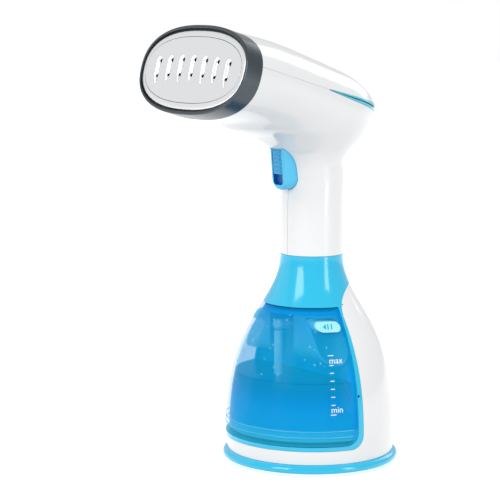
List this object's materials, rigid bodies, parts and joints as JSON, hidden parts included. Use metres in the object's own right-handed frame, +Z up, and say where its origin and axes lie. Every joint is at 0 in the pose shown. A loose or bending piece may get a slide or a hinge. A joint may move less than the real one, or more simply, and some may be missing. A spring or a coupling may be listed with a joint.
{
  "type": "garment steamer",
  "caption": "Handheld garment steamer with an oval steam head, trigger, bell-shaped body and removable front water tank on a round foot.",
  "frame": {"origin": "centre of the round foot's underside, on the neck's axis", "axes": "+Z up, the steam plate faces -Y, +X to the user's right hand when the plate faces away; symmetrical about X = 0 outside"},
  "size_m": [0.114, 0.1646, 0.2815],
  "materials": {
    "black_rubber": "matte",
    "structural_plastic": "matte",
    "blue_gloss": "gloss",
    "steel_fastener": "satin",
    "white_gloss": "gloss",
    "accent_teal": "gloss",
    "accent_dark": "gloss",
    "bezel_grey": "metallic satin",
    "plate_steel": "satin",
    "cast_aluminium": "cast",
    "element_sheath": "oxidised",
    "silicone": "matte",
    "fitting_brass": "satin",
    "heat_resistant": "matte",
    "pump_plastic": "matte",
    "copper_winding": "enamelled",
    "pump_steel": "satin",
    "trigger_blue": "satin",
    "lock_blue": "satin",
    "switch_black": "matte",
    "switch_red": "matte",
    "board_green": "satin",
    "tank_cyan": "translucent gloss",
    "tab_cyan": "translucent gloss",
    "clear_white": "translucent"
  },
  "bodies": {
    "housing": {"anti_slip_pad": "black_rubber", "base_plate": "structural_plastic", "base_ring": "blue_gloss", "base_screws": "steel_fastener", "rear_housing": "white_gloss", "collar_frame": "blue_gloss", "tank_bay_liner": "structural_plastic", "body_left": "white_gloss", "body_right": "white_gloss", "head_cover": "white_gloss", "case_screws": "steel_fastener", "accent_strip": "accent_teal", "accent_groove": "accent_dark", "bezel": "bezel_grey", "plate_gasket": "black_rubber", "steam_plate": "plate_steel", "heater_block": "cast_aluminium", "heating_element": "element_sheath", "chamber_gasket": "silicone", "chamber_cover": "cast_aluminium", "heater_screws": "steel_fastener", "inlet_fitting": "fitting_brass", "thermostat": "heat_resistant", "thermal_fuse": "heat_resistant", "heat_shield": "heat_resistant", "pump_tube": "pump_plastic", "pump_bobbin": "pump_plastic", "pump_winding": "copper_winding", "pump_yoke": "pump_steel", "pump_spring": "steel_fastener", "pump_grommets": "black_rubber", "pump_cradle": "structural_plastic", "hose_lower": "silicone", "hose_upper": "silicone", "hose_clips": "steel_fastener", "trigger_carrier": "structural_plastic", "trigger_pin": "steel_fastener", "trigger_spring": "steel_fastener", "micro_switch": "switch_black", "control_board": "board_green", "terminal_block": "board_green", "cord_gland": "white_gloss", "cord_clamp": "structural_plastic", "dock_socket": "structural_plastic"},
    "trigger": {"trigger": "trigger_blue"},
    "lock_slider": {"trigger_lock": "lock_blue"},
    "switch_plunger": {"switch_plunger": "switch_red"},
    "pump_piston": {"pump_piston": "pump_steel"},
    "tank": {"tank_front": "tank_cyan", "tank_roof": "tank_cyan", "tank_back": "tank_cyan", "outlet_ring": "black_rubber", "suction_elbow": "clear_white", "latch_pockets": "tab_cyan", "tab_spring_right": "steel_fastener", "tab_spring_left": "steel_fastener"},
    "suction_weight": {"suction_tube": "clear_white"},
    "filler_plug": {"filler_plug": "clear_white"},
    "tab_right": {"release_tab_right": "tab_cyan"},
    "tab_left": {"release_tab_left": "tab_cyan"}
  },
  "joints": [
    {"name": "trigger_hinge", "type": "hinge", "parent": "housing", "child": "trigger", "pos_m": [0, -0.017, 0.2034], "axis": [1, 0, 0], "range_deg": [0, 8], "stiffness_Nm_per_rad": 0.3, "springref_deg": -6.88, "deforming": ["trigger_spring"]},
    {"name": "lock_slide", "type": "slide", "parent": "trigger", "child": "lock_slider", "axis": [0, 0.0906, -0.9959], "range_m": [0, 0.006]},
    {"name": "plunger_slide", "type": "slide", "parent": "housing", "child": "switch_plunger", "axis": [0, 1, 0], "range_m": [0, 0.0026]},
    {"name": "piston_slide", "type": "slide", "parent": "housing", "child": "pump_piston", "axis": [0, 0, 1], "range_m": [-0.0015, 0.0015], "stiffness_N_per_m": 2000, "deforming": ["pump_spring"]},
    {"name": "tank_slide", "type": "slide", "parent": "housing", "child": "tank", "axis": [0, -1, 0], "range_m": [0, 0.09]},
    {"name": "tab_right_press", "type": "slide", "parent": "tank", "child": "tab_right", "axis": [-1, 0, 0], "range_m": [0, 0.0025], "stiffness_N_per_m": 900, "deforming": ["tab_spring_right"]},
    {"name": "tab_left_press", "type": "slide", "parent": "tank", "child": "tab_left", "axis": [1, 0, 0], "range_m": [0, 0.0025], "stiffness_N_per_m": 900, "deforming": ["tab_spring_left"]},
    {"name": "suction_swing", "type": "hinge", "parent": "tank", "child": "suction_weight", "pos_m": [0, -0.027, 0.091], "axis": [1, 0, 0], "range_deg": [-13, 10]},
    {"name": "filler_pull", "type": "slide", "parent": "tank", "child": "filler_plug", "axis": [0, 0, 1], "range_m": [0, 0.01]}
  ],
  "couplings": [
    {"joint": "plunger_slide", "follows": "trigger_hinge", "m_per_rad": 0.0184}
  ]
}
